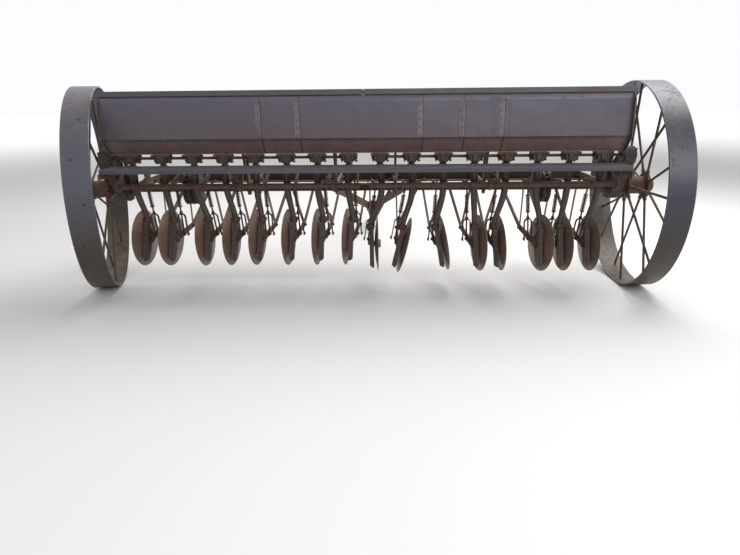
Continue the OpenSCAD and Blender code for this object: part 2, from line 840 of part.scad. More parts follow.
module lift_rods(first) {
    color(iron) at_axle() for (i = [first : first + half - 1]) on_gang(i) {
        s = side(i);
        foot = [s * rod_pin[0], rod_pin[1], rod_pin[2]];
        p = in_gang(i, foot);
        q = [row_x(i) + s * rod_dx, -rod_y, rod_top_z];
        way = unit(q - p);
        h = norm(q - p);
        coils = 9;
        pitch = spring_len / coils;
        difference() {
            union() {
                at_head(i) translate(foot) bar_x(14, 8);
                translate(q) bar_x(13, 8);
                along(p + 10 * way, q - 8 * way) {
                    cylinder(d = rod_d, h = h - 18);
                    translate([0, 0, h * 0.46]) rotate_extrude() {
                        for (k = [0 : coils - 1])
                            translate([rod_d / 2 - 1, k * pitch]) polygon([
                                [0, 0], [(spring_d - rod_d) / 2 - 2, 0], [(spring_d - rod_d) / 2 + 1, pitch / 3],
                                [(spring_d - rod_d) / 2 - 2, pitch * 2 / 3], [0, pitch * 2 / 3]
                            ]);
                        translate([0, -6]) square([spring_d / 2, 6]);
                        square([rod_d / 2 + 3, spring_len]);
                        translate([0, spring_len]) square([spring_d / 2, 5]);
                    }
                }
            }
            at_head(i) translate(foot) bar_x(7.2, 30);
            translate(q) bar_x(6, 30);
        }
    }
}

rock_arm = norm([rock_y - rod_y, rod_top_z - rock_z]);
rock_rest = atan((rod_top_z - rock_z) / (rock_y - rod_y));
// the shaft turns this much for each degree of its gang
rock_ratio = 3.95;

module rockshaft(first) {
    s = side(first);
    inner = row_pitch / 2 - arm_dx - 14;
    outer = half * row_pitch + bracket_t;
    color(rust) at_axle() {
        translate([s < 0 ? (inner + outer) / 2 : -(inner + outer) / 2, -rock_y, rock_z])
            bar_x(rock_d / 2, outer - inner);
        for (i = [first : first + half - 1])
            translate([row_x(i) + s * arm_dx, -rock_y, rock_z])
            rotate([rock_rest - rock_ratio * drop(i), 0, 0]) {
                flat_x(arm_t) link([0, 0], [rock_arm, 0], rock_d / 2 + 8, 13);
                translate([-s * arm_t, rock_arm, 0]) bar_x(6, arm_t * 2);
            }
    }
}

wheel_rim(-1);  // wheel_rim_left
wheel_rim(1);  // wheel_rim_right
wheel_hub(-1);  // wheel_hub_left
wheel_hub(1);  // wheel_hub_right
axle();
gear_cases();
lift_clutches();
frame_brackets();
front_rail();
pivot_rod();
hitch_brace(-1);  // hitch_brace_left
hitch_brace(1);  // hitch_brace_right
tongue();
box_rear();
box_front();
box_floor();
box_end(-1);  // box_end_left
box_end(1);  // box_end_right
lid(-1);  // lid_left
lid(1);  // lid_right
hinge_rod();
footboard();
feed_cups();
feed_shafts();
seed_tubes(0);  // seed_tubes_left
seed_tubes(half);  // seed_tubes_right
drawbars(0);  // drawbars_left
drawbars(half);  // drawbars_right
boots(0);  // boots_left
boots(half);  // boots_right
lift_rods(0);  // lift_rods_left
lift_rods(half);  // lift_rods_right
rockshaft(0);  // rockshaft_left
rockshaft(half);  // rockshaft_right
disc(0);  // disc_01
disc(1);  // disc_02
disc(2);  // disc_03
disc(3);  // disc_04
disc(4);  // disc_05
disc(5);  // disc_06
disc(6);  // disc_07
disc(7);  // disc_08
disc(8);  // disc_09
disc(9);  // disc_10
disc(10);  // disc_11
disc(11);  // disc_12
disc(12);  // disc_13
disc(13);  // disc_14
disc(14);  // disc_15
disc(15);  // disc_16
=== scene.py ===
import json
import math

import bmesh
import bpy
from mathutils import Matrix, Vector


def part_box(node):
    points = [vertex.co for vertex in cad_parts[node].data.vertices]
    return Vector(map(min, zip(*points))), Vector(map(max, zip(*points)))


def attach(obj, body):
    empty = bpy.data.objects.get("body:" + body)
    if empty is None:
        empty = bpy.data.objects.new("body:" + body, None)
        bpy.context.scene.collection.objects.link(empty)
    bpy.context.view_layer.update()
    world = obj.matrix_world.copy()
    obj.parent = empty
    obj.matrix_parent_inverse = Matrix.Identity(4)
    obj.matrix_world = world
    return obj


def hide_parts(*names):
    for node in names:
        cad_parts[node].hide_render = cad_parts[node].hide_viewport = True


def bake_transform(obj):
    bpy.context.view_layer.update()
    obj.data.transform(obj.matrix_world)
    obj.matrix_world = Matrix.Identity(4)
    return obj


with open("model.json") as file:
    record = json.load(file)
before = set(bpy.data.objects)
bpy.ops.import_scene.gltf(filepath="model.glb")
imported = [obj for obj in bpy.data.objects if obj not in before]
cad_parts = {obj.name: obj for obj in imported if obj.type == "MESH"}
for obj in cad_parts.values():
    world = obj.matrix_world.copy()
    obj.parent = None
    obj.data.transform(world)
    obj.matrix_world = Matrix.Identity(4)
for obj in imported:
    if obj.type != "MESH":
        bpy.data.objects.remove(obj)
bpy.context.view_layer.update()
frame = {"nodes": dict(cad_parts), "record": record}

# Camera. It stands behind the parked drill, a little to the right of its middle and at
# chest height, and looks down along the way the drill is towed.
floor_low, floor_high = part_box("box_floor")
rim_low, rim_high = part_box("wheel_rim_right")
axle_x = (floor_low.x + floor_high.x) / 2
axle_y = (rim_low.y + rim_high.y) / 2
axle_z = (rim_low.z + rim_high.z) / 2
picture_width = 740
focal_pixels = 604
heading, tilt, roll = 1.606, 90 - 16.728, -0.62


def at(x, y, z):
    """A place that is given from the middle of the axle and from the ground."""
    return Vector((axle_x + x, axle_y + y, z))


def spin(degrees, axis):
    return Matrix.Rotation(math.radians(degrees), 4, axis)


def add_object(name, data):
    made = bpy.data.objects.new(name, data)
    bpy.context.scene.collection.objects.link(made)
    return made


camera = add_object("camera", bpy.data.cameras.new("camera"))
bpy.context.scene.camera = camera
camera.data.sensor_width = 36
camera.data.lens = camera.data.sensor_width * focal_pixels / picture_width
camera.data.clip_end = 200
camera.matrix_world = (Matrix.Translation(at(0.122, -3.678, 1.128))
                       @ spin(heading, "Z") @ spin(tilt, "X") @ spin(roll, "Z"))


# Floor and light. A pale floor that fades into a white room, one broad lamp over the
# drill and a little in front of it, and a weaker one behind the camera.
def linear(red, green, blue):
    """A colour as it is seen on screen, 11 to 255, as the shader's own numbers."""
    return tuple(((c / 255 + 0.055) / 1.055) ** 2.4 for c in (red, green, blue)) + (1.0,)


def new_material(name):
    material = bpy.data.materials.new(name)
    material.use_nodes = True
    material.node_tree.nodes.clear()
    return material, material.node_tree


def node(tree, kind, inputs=(), **settings):
    """A new node. An input's value is a number, a colour or another node's socket."""
    made = tree.nodes.new(kind)
    for key, value in settings.items():
        setattr(made, key, value)
    for key, value in dict(inputs).items():
        if isinstance(value, bpy.types.NodeSocket):
            tree.links.new(value, made.inputs[key])
        else:
            made.inputs[key].default_value = value
    return made


def math_node(tree, work, *values):
    return node(tree, "ShaderNodeMath", dict(enumerate(values)), operation=work).outputs[0]


def measure_node(tree, work, *vectors):
    """The number that a piece of work on vectors gives."""
    made = node(tree, "ShaderNodeVectorMath", dict(enumerate(vectors)), operation=work)
    return made.outputs["Value"]


def blend_node(tree, share, first, second):
    """first where share is 0, second where it is 1."""
    made = node(tree, "ShaderNodeMix", {0: share, 6: first, 7: second}, data_type="RGBA")
    return made.outputs[2]


def ramp_node(tree, value, low, high, to_low=0.0, to_high=1.0):
    made = node(tree, "ShaderNodeMapRange", {
        "Value": value, "From Min": low, "From Max": high, "To Min": to_low, "To Max": to_high,
    }, interpolation_type="SMOOTHSTEP")
    return made.outputs["Result"]


def end_shader(tree, shader, kind="ShaderNodeOutputMaterial"):
    node(tree, kind, {"Surface": shader.outputs[0]})


def seen_white(tree):
    """1 for rays from the camera and for those that mirror or glass sends on."""
    path = tree.nodes.new("ShaderNodeLightPath").outputs
    seen = math_node(tree, "MAXIMUM", path["Is Camera Ray"], path["Is Glossy Ray"])
    return math_node(tree, "MAXIMUM", seen, path["Is Transmission Ray"])


world = bpy.data.worlds.new("room")
bpy.context.scene.world = world
world.use_nodes = True
tree = world.node_tree
tree.nodes.clear()
room = node(tree, "ShaderNodeBackground", {
    "Color": (0.97, 0.98, 1.0, 1),
    "Strength": math_node(tree, "MULTIPLY_ADD", seen_white(tree), 0.45, 0.55),
})
end_shader(tree, room, "ShaderNodeOutputWorld")

floor_mesh = bpy.data.meshes.new("floor")
floor_reach = 40
floor_z = -0.0006
corners = [(x * floor_reach, y * floor_reach, floor_z) for x, y in ((-1, -1), (1, -1), (1, 1), (-1, 1))]
floor_mesh.from_pydata(corners, [], [(0, 1, 2, 3)])
floor = add_object("floor", floor_mesh)
floor_pale, tree = new_material("floor_pale")
lit = node(tree, "ShaderNodeBsdfDiffuse", {"Color": (0.74, 0.73, 0.71, 1)})
glow = node(tree, "ShaderNodeEmission", {"Color": (1, 1, 1, 1), "Strength": 1.0})
away = measure_node(tree, "LENGTH", node(tree, "ShaderNodeNewGeometry").outputs["Position"])
fade = math_node(tree, "MULTIPLY", ramp_node(tree, away, 5.0, 16.0), seen_white(tree))
end_shader(tree, node(tree, "ShaderNodeMixShader", {0: fade, 1: lit.outputs[0], 2: glow.outputs[0]}))
floor_mesh.materials.append(floor_pale)

drill_middle = at(0, 0, 0.6)
for name, place, size, power in (
    ("lamp_over", at(1.8, 2.2, 4.6), (6.0, 3.0), 330),
    ("lamp_behind_camera", at(3.0, -5.4, 3.4), (5.0, 3.0), 200),
):
    lamp = bpy.data.lights.new(name, "AREA")
    lamp.shape = "RECTANGLE"
    lamp.size, lamp.size_y = size
    lamp.energy = power
    turn = (drill_middle - place).to_track_quat("-Z", "Y")
    add_object(name, lamp).matrix_world = Matrix.Translation(place) @ turn.to_matrix().to_4x4()


# Front rail, brackets and axle. Rolled angle iron, flat plate and round bar, bolted and
# riveted, and left out in the weather until brown rust covers all of it.
def new_group(name, sockets, results):
    """A shader node group with named inputs, and the nodes that hold them."""
    tree = bpy.data.node_groups.new(name, "ShaderNodeTree")
    for label, kind, value in sockets:
        made = tree.interface.new_socket(label, in_out="INPUT", socket_type=kind)
        made.default_value = value
    for label, kind in results:
        tree.interface.new_socket(label, in_out="OUTPUT", socket_type=kind)
    return tree, tree.nodes.new("NodeGroupInput").outputs, tree.nodes.new("NodeGroupOutput")


def end_group(tree, result, **values):
    for label, value in values.items():
        tree.links.new(value, result.inputs[label])
    return tree


def own_place(tree):
    """Object coordinates, which are the frame's metres on every piece."""
    return node(tree, "ShaderNodeTexCoord").outputs["Object"]


def part_of(tree, vector, axis):
    return node(tree, "ShaderNodeSeparateXYZ", {0: vector}).outputs[axis]


def noise(tree, place, scale, detail, roughness=0.5, distortion=0.0):
    return node(tree, "ShaderNodeTexNoise", {
        "Vector": place, "Scale": scale, "Detail": detail, "Roughness": roughness,
        "Distortion": distortion,
    }).outputs[0]


def stretched(tree, place, scale):
    return node(tree, "ShaderNodeMapping", {"Vector": place, "Scale": scale}).outputs[0]


def build_rust_bloom():
    """Patches, flecks, runs and pits of rust over a skin of another colour."""
    tree, given, result = new_group("rust_bloom", [
        ("Skin", "NodeSocketColor", linear(90, 80, 82)),
        ("Rust", "NodeSocketColor", linear(110, 70, 50)),
        ("Deep", "NodeSocketColor", linear(50, 38, 34)),
        ("Scale", "NodeSocketFloat", 1.0),
        ("Cover", "NodeSocketFloat", 0.5),
        ("Runs", "NodeSocketFloat", 0.0),
        ("Speckle", "NodeSocketFloat", 0.7),
    ], [("Color", "NodeSocketColor"), ("Rusted", "NodeSocketFloat"), ("Height", "NodeSocketFloat")])
    place = own_place(tree)
    size = given["Scale"]
    patches = noise(tree, place, math_node(tree, "MULTIPLY", size, 3.4), 9.0, 0.64, 0.35)
    flecks = noise(tree, place, math_node(tree, "MULTIPLY", size, 52.0), 6.0, 0.72)
    runs = noise(tree, stretched(tree, place, (30.0, 30.0, 1.4)), size, 5.0, 0.6)
    pits = node(tree, "ShaderNodeTexVoronoi", {
        "Vector": place, "Scale": math_node(tree, "MULTIPLY", size, 260.0),
    }).outputs["Distance"]
    growth = math_node(tree, "MULTIPLY_ADD", math_node(tree, "SUBTRACT", flecks, 0.5), 0.8, patches)
    growth = math_node(tree, "MULTIPLY_ADD", math_node(tree, "SUBTRACT", runs, 0.5),
                       given["Runs"], growth)
    bare_edge, cover_reach, softness = 0.86, 0.72, 0.13
    edge = math_node(tree, "MULTIPLY_ADD", given["Cover"], -cover_reach, bare_edge)
    rusted = ramp_node(tree, growth, math_node(tree, "SUBTRACT", edge, softness),
                       math_node(tree, "ADD", edge, softness))
    colour = blend_node(tree, rusted, given["Skin"], given["Rust"])
    dark = math_node(tree, "MULTIPLY", ramp_node(tree, flecks, 0.38, 0.60, 1.0, 0.0),
                     given["Speckle"])
    colour = blend_node(tree, dark, colour, given["Deep"])
    height = math_node(tree, "MULTIPLY_ADD", pits, 0.35, math_node(tree, "MULTIPLY", flecks, 0.8))
    height = math_node(tree, "MULTIPLY_ADD", rusted, 0.25, height)
    return end_group(tree, result, Color=colour, Rusted=rusted, Height=height)


def build_field_dust():
    """Dry soil that lies on what faces up, and that has splashed on what is low."""
    tree, given, result = new_group("field_dust", [
        ("Color", "NodeSocketColor", (0.5, 0.5, 0.5, 1)),
        ("Dust", "NodeSocketColor", linear(150, 128, 104)),
        ("Amount", "NodeSocketFloat", 0.4),
    ], [("Color", "NodeSocketColor"), ("Dusty", "NodeSocketFloat")])
    place = own_place(tree)
    normal = node(tree, "ShaderNodeNewGeometry").outputs["Normal"]
    cloud = noise(tree, place, 17.0, 8.0, 0.68)
    lying = ramp_node(tree, part_of(tree, normal, "Z"), 0.15, 0.95, 0.0, 0.9)
    splashed = ramp_node(tree, part_of(tree, place, "Z"), 0.05, 0.42, 0.55, 0.0)
    share = math_node(tree, "ADD", lying, splashed)
    share = math_node(tree, "MULTIPLY", share, ramp_node(tree, cloud, 0.36, 0.64, 0.25, 1.0))
    share = math_node(tree, "MULTIPLY", share, given["Amount"])
    share = math_node(tree, "MINIMUM", share, 0.9)
    return end_group(tree, result, Color=blend_node(tree, share, given["Color"], given["Dust"]),
                     Dusty=share)


def build_rubbed_edge():
    """1 on edges that hands, straw and soil have rubbed, in broken stretches."""
    tree, given, result = new_group("rubbed_edge", [
        ("Width", "NodeSocketFloat", 0.004),
        ("Amount", "NodeSocketFloat", 0.5),
    ], [("Rubbed", "NodeSocketFloat")])
    rounded = node(tree, "ShaderNodeBevel", {"Radius": given["Width"]}, samples=4)
    flat = node(tree, "ShaderNodeNewGeometry")
    same = measure_node(tree, "DOT_PRODUCT", rounded.outputs[0], flat.outputs["Normal"])
    edge = ramp_node(tree, math_node(tree, "SUBTRACT", 1.0, same), 0.015, 0.22)
    broken = ramp_node(tree, noise(tree, own_place(tree), 28.0, 6.0, 0.7), 0.38, 0.58)
    rubbed = math_node(tree, "MULTIPLY", edge, broken)
    return end_group(tree, result, Rubbed=math_node(tree, "MULTIPLY", rubbed, given["Amount"]))


rust_bloom = build_rust_bloom()
field_dust = build_field_dust()
rubbed_edge = build_rubbed_edge()


def above(low, high):
    """The share of a zone that starts at one height and is full at another."""
    def share(tree):
        return ramp_node(tree, part_of(tree, own_place(tree), "Z"), low, high)
    return share


def away_from(centre, near, far):
    """The share of a zone that starts at one distance from a point and is full at another."""
    def share(tree):
        return ramp_node(tree, measure_node(tree, "DISTANCE", own_place(tree), tuple(centre)), near, far)
    return share


def rusty(name, skin, rust, deep, scale=1.0, cover=0.5, runs=0.0, speckle=0.7, smooth=0.5,
          coarse=0.85, relief=0.35, dents=0.0, dust=0.35, rub=0.5, rub_width=0.004,
          bright=(150, 140, 134), zones=()):
    """Iron or sheet under rust: its own colour, the rust over it, dust and rubbed edges.

    Each zone is a share and the colour that skin and rust turn to there.
    """
    material, tree = new_material(name)
    skin, rust = linear(*skin), linear(*rust)
    for share, colour in zones:
        full = share(tree)
        skin = blend_node(tree, full, skin, linear(*colour))
        rust = blend_node(tree, full, rust, linear(*colour))
    bloom = node(tree, "ShaderNodeGroup", {
        "Skin": skin, "Rust": rust, "Deep": linear(*deep), "Scale": scale, "Cover": cover,
        "Runs": runs, "Speckle": speckle,
    }, node_tree=rust_bloom).outputs
    rubbed = node(tree, "ShaderNodeGroup", {"Width": rub_width, "Amount": rub},
                  node_tree=rubbed_edge).outputs["Rubbed"]
    colour = blend_node(tree, rubbed, bloom["Color"], linear(*bright))
    dusted = node(tree, "ShaderNodeGroup", {"Color": colour, "Amount": dust},
                  node_tree=field_dust).outputs
    rough = ramp_node(tree, bloom["Rusted"], 0.0, 1.0, smooth, coarse)
    rough = math_node(tree, "MULTIPLY_ADD", dusted["Dusty"], 0.25, rough)
    rough = math_node(tree, "MULTIPLY_ADD", rubbed, -0.2, rough)
    bump = node(tree, "ShaderNodeBump", {
        "Height": bloom["Height"], "Strength": relief, "Distance": 0.002,
    })
    if dents:
        bent = node(tree, "ShaderNodeBump", {
            "Height": noise(tree, own_place(tree), 3.1, 2.0), "Strength": dents, "Distance": 0.05,
        })
        tree.links.new(bent.outputs[0], bump.inputs["Normal"])
    end_shader(tree, node(tree, "ShaderNodeBsdfPrincipled", {
        "Base Color": dusted["Color"], "Roughness": rough,
        "Metallic": math_node(tree, "MULTIPLY", rubbed, 0.6), "Normal": bump.outputs[0],
    }))
    return material


def coat(material, *names):
    """Gives CAD nodes a finish."""
    for name in names:
        for held in frame["nodes"][name].material_slots:
            held.material = material


frame_iron = rusty("frame_iron", (78, 65, 62), (92, 67, 56), (48, 40, 38),
                   scale=1.1, cover=0.58, dust=0.22, rub=0.45)
rod_iron = rusty("rod_iron", (72, 61, 58), (84, 60, 50), (46, 38, 36),
                 scale=1.6, cover=0.55, smooth=0.42, dust=0.14, rub=0.35)
bolt_iron = rusty("bolt_iron", (92, 76, 70), (108, 72, 54), (54, 42, 38),
                  scale=4.0, cover=0.6, dust=0.2, rub=0.6, rub_width=0.0012)
coat(frame_iron, "front_rail", "frame_brackets", "hitch_brace_left", "hitch_brace_right", "tongue")
coat(rod_iron, "axle", "pivot_rod", "feed_shafts", "hinge_rod")


def new_tree(name, **inputs):
    """A Geometry Nodes tree that turns a mesh of points or lines into pieces."""
    tree = bpy.data.node_groups.new(name, "GeometryNodeTree")
    tree.is_modifier = True
    face = tree.interface
    face.new_socket("Geometry", in_out="OUTPUT", socket_type="NodeSocketGeometry")
    face.new_socket("Geometry", in_out="INPUT", socket_type="NodeSocketGeometry")
    for label, value in inputs.items():
        made = face.new_socket(label, in_out="INPUT", socket_type="NodeSocketFloat")
        made.default_value = value
    face.new_socket("Finish", in_out="INPUT", socket_type="NodeSocketMaterial")
    return tree, tree.nodes.new("NodeGroupInput").outputs, tree.nodes.new("NodeGroupOutput")


def end_tree(tree, given, result, made):
    """Ends a tree: what it made becomes real and gets its finish."""
    real = node(tree, "GeometryNodeRealizeInstances", {0: made})
    finished = node(tree, "GeometryNodeSetMaterial",
                    {"Geometry": real.outputs[0], "Material": given["Finish"]})
    tree.links.new(finished.outputs[0], result.inputs[0])
    return tree


def end_on_points(tree, given, result, piece, seed):
    """Ends a tree: its piece stands on each point, with Z along the point's axis.

    Each is also spun about that axis by chance.
    """
    axis = node(tree, "GeometryNodeInputNamedAttribute", {"Name": "axis"}, data_type="FLOAT_VECTOR")
    turn = node(tree, "FunctionNodeAlignRotationToVector", {"Vector": axis.outputs["Attribute"]},
                axis="Z")
    chance = node(tree, "FunctionNodeRandomValue", {2: 0.0, 3: 6.283, "Seed": seed},
                  data_type="FLOAT")
    about = node(tree, "ShaderNodeCombineXYZ", {"Z": chance.outputs[1]})
    spun = node(tree, "FunctionNodeEulerToRotation", {0: about.outputs[0]})
    both = node(tree, "FunctionNodeRotateRotation",
                {0: turn.outputs[0], 1: spun.outputs[0]}, rotation_space="LOCAL")
    spots = node(tree, "GeometryNodeInstanceOnPoints",
                 {"Points": given[0], "Instance": piece, "Rotation": both.outputs[0]})
    return end_tree(tree, given, result, spots.outputs[0])


def cylinder(tree, sides, radius, depth):
    return node(tree, "GeometryNodeMeshCylinder",
                {"Vertices": sides, "Radius": radius, "Depth": depth}).outputs[0]


def raised(tree, piece, height):
    up = node(tree, "ShaderNodeCombineXYZ", {"Z": height})
    return node(tree, "GeometryNodeTransform",
                {"Geometry": piece, "Translation": up.outputs[0]}).outputs[0]


def joined(tree, *pieces):
    made = node(tree, "GeometryNodeJoinGeometry")
    for piece in pieces:
        tree.links.new(piece, made.inputs[0])
    return made.outputs[0]


def build_hex_bolts():
    """A hexagon nut on a washer, with the bolt's end showing."""
    tree, given, result = new_tree("hex_bolts", Across=0.018, Height=0.008, Washer=0.013)
    corner_share, stud_share = 0.577, 0.28
    nut = cylinder(tree, 6, math_node(tree, "MULTIPLY", given["Across"], corner_share), given["Height"])
    washer = cylinder(tree, 16, given["Washer"], 0.003)
    stud = cylinder(tree, 10, math_node(tree, "MULTIPLY", given["Across"], stud_share), 0.01)
    middle = math_node(tree, "MULTIPLY_ADD", given["Height"], 0.5, 0.002)
    bolt = joined(tree, raised(tree, nut, middle), raised(tree, washer, 0.0008),
                  raised(tree, stud, given["Height"]))
    return end_on_points(tree, given, result, bolt, 3)


def build_rivets():
    """A round rivet head, its lower half sunk in the plate."""
    tree, given, result = new_tree("rivets", Radius=0.008, Height=0.005)
    ball = node(tree, "GeometryNodeMeshUVSphere", {"Segments": 12, "Rings": 8, "Radius": 1.0})
    flat = node(tree, "ShaderNodeCombineXYZ", {
        "X": given["Radius"], "Y": given["Radius"], "Z": given["Height"],
    })
    head = node(tree, "GeometryNodeTransform", {"Geometry": ball.outputs[0], "Scale": flat.outputs[0]})
    smooth = node(tree, "GeometryNodeSetShadeSmooth", {0: head.outputs[0]})
    return end_on_points(tree, given, result, smooth.outputs[0], 5)


hex_bolts = build_hex_bolts()
rivets = build_rivets()


def spots_mesh(spots, lines=False):
    """A mesh of points, each with the way it faces. With lines, each two points are a line."""
    mesh = bpy.data.meshes.new("spots")
    joins = [(k, k + 1) for k in range(0, len(spots), 2)] if lines else []
    mesh.from_pydata([tuple(place) for place, _ in spots], joins, [])
    axis = mesh.attributes.new("axis", "FLOAT_VECTOR", "POINT")
    axis.data.foreach_set("vector", [c for _, way in spots for c in way])
    return mesh


def make(name, tree, mesh, finish, body, slot, **sizes):
    """Runs a tree on a mesh and leaves a plain mesh that rides on a body."""
    piece = add_object(name, mesh)
    step = piece.modifiers.new("make", "NODES")
    step.node_group = tree
    given = {"Finish": finish, **sizes}
    for item in tree.interface.items_tree:
        if item.in_out == "INPUT" and item.name in given:
            step[item.identifier] = given[item.name]
    bpy.context.view_layer.update()
    ready = piece.evaluated_get(bpy.context.evaluated_depsgraph_get())
    plain = bpy.data.meshes.new_from_object(ready)
    piece.modifiers.clear()
    piece.data = plain
    if body:
        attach(piece, body)
    return piece


row_pitch = 0.1778
pivot_y = 0.440
pivot = at(0, pivot_y, 0.545)
rail_ears = 17
ear_top = 0.583
rail_bolts = []
for k in range(rail_ears):
    x = (k - rail_ears // 2) * row_pitch
    for y in (0.415, 0.441):
        rail_bolts.append((at(x + 0.024 * (-1) ** k, y, ear_top), (0, 0, 1)))
stand_x = [s * k * row_pitch for s in (-1, 1) for k in (8, 4, 1)]
bracket_face = 0.006
bracket_bolts = ((0.330, 0.607), (0.430, 0.604), (-0.385, 0.723), (-0.150, 0.723), (-0.078, 0.880))
for x in stand_x:
    for side in (-1, 1):
        for y, z in bracket_bolts:
            rail_bolts.append((at(x + side * bracket_face, y, z), (side, 0, 0)))
make("frame_bolts", hex_bolts, spots_mesh(rail_bolts), bolt_iron, "root", "bar")


# Tongue and braces. Two flat bars run in from the rail, lie against the square tongue bar
# and are bolted through it. A flat plate with the pin's hole ends it on the ground.
def faced(place, x, y=0, z=0):
    """A direction that is given in a turned space."""
    return place.to_3x3() @ Vector((x, y, z))


hitch = Matrix.Translation(at(0, 0.465, 0.604)) @ spin(-20.19, "X")
tongue_side = 0.037
plate_top = 0.011
brace_start = 0.380
brace_in, brace_along = 0.355, 1.125
brace_lead = 0.03
brace_face = 0.0125
lean = math.atan2(brace_in, brace_along)
hitch_bolts = []
for along in (1.150, 1.225, 1.300):
    for side in (-1, 1):
        hitch_bolts.append((hitch @ Vector((side * tongue_side, along, 0)), (side, 0, 0)))
for side in (-1, 1):
    outward = Vector((side * math.cos(lean), math.sin(lean), 0))
    for along in (0.045, 0.115):
        x = side * (brace_start - brace_in * (along + brace_lead) / brace_along)
        place = hitch @ (Vector((x, along, 0)) + outward * brace_face)
        hitch_bolts.append((place, faced(hitch, *outward)))
for along in (1.500, 1.545):
    hitch_bolts.append((hitch @ Vector((0, along, plate_top)), faced(hitch, 0, 0, 1)))
make("hitch_bolts", hex_bolts, spots_mesh(hitch_bolts), bolt_iron, "root", "bar",
     Across=0.022, Height=0.010, Washer=0.016)


# Wheels. Each has a rolled flat rim and sixteen round rods that cross from the rim to
# either end of a cast hub, and the hubs still hold some red paint.
joints = {joint["name"]: joint for joint in frame["record"]["behaviour"]["joints"]}
wheel_r = 0.600
spokes = 16
row_spokes = spokes / 2
# How far along the axle and out along its ray a spoke leaves the hub and meets the rim,
# and where its rivet's head stands on the flange
hub_row, hub_ray = 0.056, 0.058
rim_row, rim_ray = 0.022, wheel_r - 0.009
head_row, head_ray = 0.0635, 0.064
seat_gap = 0.024


def wheel_place(name):
    """A wheel's own space: the middle of its hub, with X along the way it turns about."""
    joint = joints["wheel_" + name + "_turn"]
    way = Vector((-1, 0, 0)).rotation_difference(Vector(joint["axis"]))
    return Matrix.Translation(joint["pos_m"]) @ way.to_matrix().to_4x4()


def spoke_ends(place, s):
    """The share of the tread where the sixteen spokes' ends are riveted over."""
    def share(tree):
        home = place.inverted()
        own = node(tree, "ShaderNodeMapping", {
            "Vector": own_place(tree), "Location": home.translation, "Rotation": home.to_euler(),
        })
        part = node(tree, "ShaderNodeSeparateXYZ", {0: own.outputs[0]}).outputs
        turned = math_node(tree, "ARCTAN2", part["Y"], part["Z"])
        outer = math_node(tree, "GREATER_THAN", math_node(tree, "MULTIPLY", part["X"], s), 0.0)
        first = math_node(tree, "MULTIPLY_ADD", outer, 0.5, 0.5)
        steps = math_node(tree, "MULTIPLY_ADD", turned, row_spokes / (2 * math.pi), first)
        along = math_node(tree, "SUBTRACT", math_node(tree, "FRACT", steps), 0.5)
        along = math_node(tree, "MULTIPLY", along, 2 * math.pi / row_spokes * wheel_r)
        across = math_node(tree, "SUBTRACT", math_node(tree, "ABSOLUTE", part["X"]), rim_row)
        gap = node(tree, "ShaderNodeCombineXYZ", {"X": along, "Y": across})
        return ramp_node(tree, measure_node(tree, "LENGTH", gap.outputs[0]), 0.0105, 0.0075)
    return share


def build_spoke_nuts():
    """The cone-shaped seat that each spoke ends in."""
    tree, given, result = new_tree("spoke_nuts", Wide=0.013, Narrow=0.0085, Height=0.016)
    seat = node(tree, "GeometryNodeMeshCone", {
        "Vertices": 14, "Radius Top": given["Narrow"], "Radius Bottom": given["Wide"],
        "Depth": given["Height"],
    })
    return end_on_points(tree, given, result, seat.outputs[0], 7)


spoke_nuts = build_spoke_nuts()
# Per rim: low skin, low rust, middle tone and top tone. The right rim's are darker all through, as
# painted shade.
rim_tones_and_painted_light = {
    "left": ((58, 50, 44), (70, 57, 49), (72, 72, 84), (96, 97, 108)),
    "right": ((40, 32, 25), (52, 40, 30), (40, 41, 57), (66, 68, 87)),
}
for s, name in ((-1, "left"), (1, "right")):
    place = wheel_place(name)
    low_skin, low_rust, middle_sky_reflection, top_sky_reflection = rim_tones_and_painted_light[name]
    # Above 0.22 m the rim turns blue-grey, and above 1.02 m a paler blue-grey: painted sky reflection on
    # its upper part. Lower down it keeps the brown skin and rust.
    rim_iron = rusty("rim_iron_" + name, low_skin, low_rust, (44, 38, 38), scale=0.9, cover=0.34,
                     speckle=0.25, smooth=0.38, coarse=0.7, relief=0.22, dust=0.2, rub=0.7,
                     rub_width=0.006, bright=(160, 156, 156),
                     zones=[(above(0.22, 0.72), middle_sky_reflection), (above(1.02, 1.22), top_sky_reflection),
                            (spoke_ends(place, s), (38, 33, 33))])
    hub_iron = rusty("hub_iron_" + name, (96, 58, 48), (88, 62, 52), (46, 36, 33), scale=1.8,
                     cover=0.5, dust=0.25, rub=0.4, rub_width=0.003,
                     zones=[(away_from(place.translation, 0.12, 0.17), (74, 58, 52))])
    coat(rim_iron, "wheel_rim_" + name)
    coat(hub_iron, "wheel_hub_" + name)
    seats, flange_heads = [], []
    for k in range(spokes):
        row = s if k % 2 else -s
        a = math.radians(k * 360 / spokes)
        ray = Vector((0, math.sin(a), math.cos(a)))
        near = place @ (Vector((row * hub_row, 0, 0)) + ray * hub_ray)
        far = place @ (Vector((row * rim_row, 0, 0)) + ray * rim_ray)
        seats.append((near + (far - near).normalized() * seat_gap, far - near))
        head = place @ (Vector((row * head_row, 0, 0)) + ray * head_ray)
        flange_heads.append((head, faced(place, row)))
    make("spoke_nuts_" + name, spoke_nuts, spots_mesh(seats), hub_iron, "wheel_" + name, "hub")
    make("flange_rivets_" + name, rivets, spots_mesh(flange_heads), hub_iron,
         "wheel_" + name, "hub", Radius=0.0095, Height=0.005)


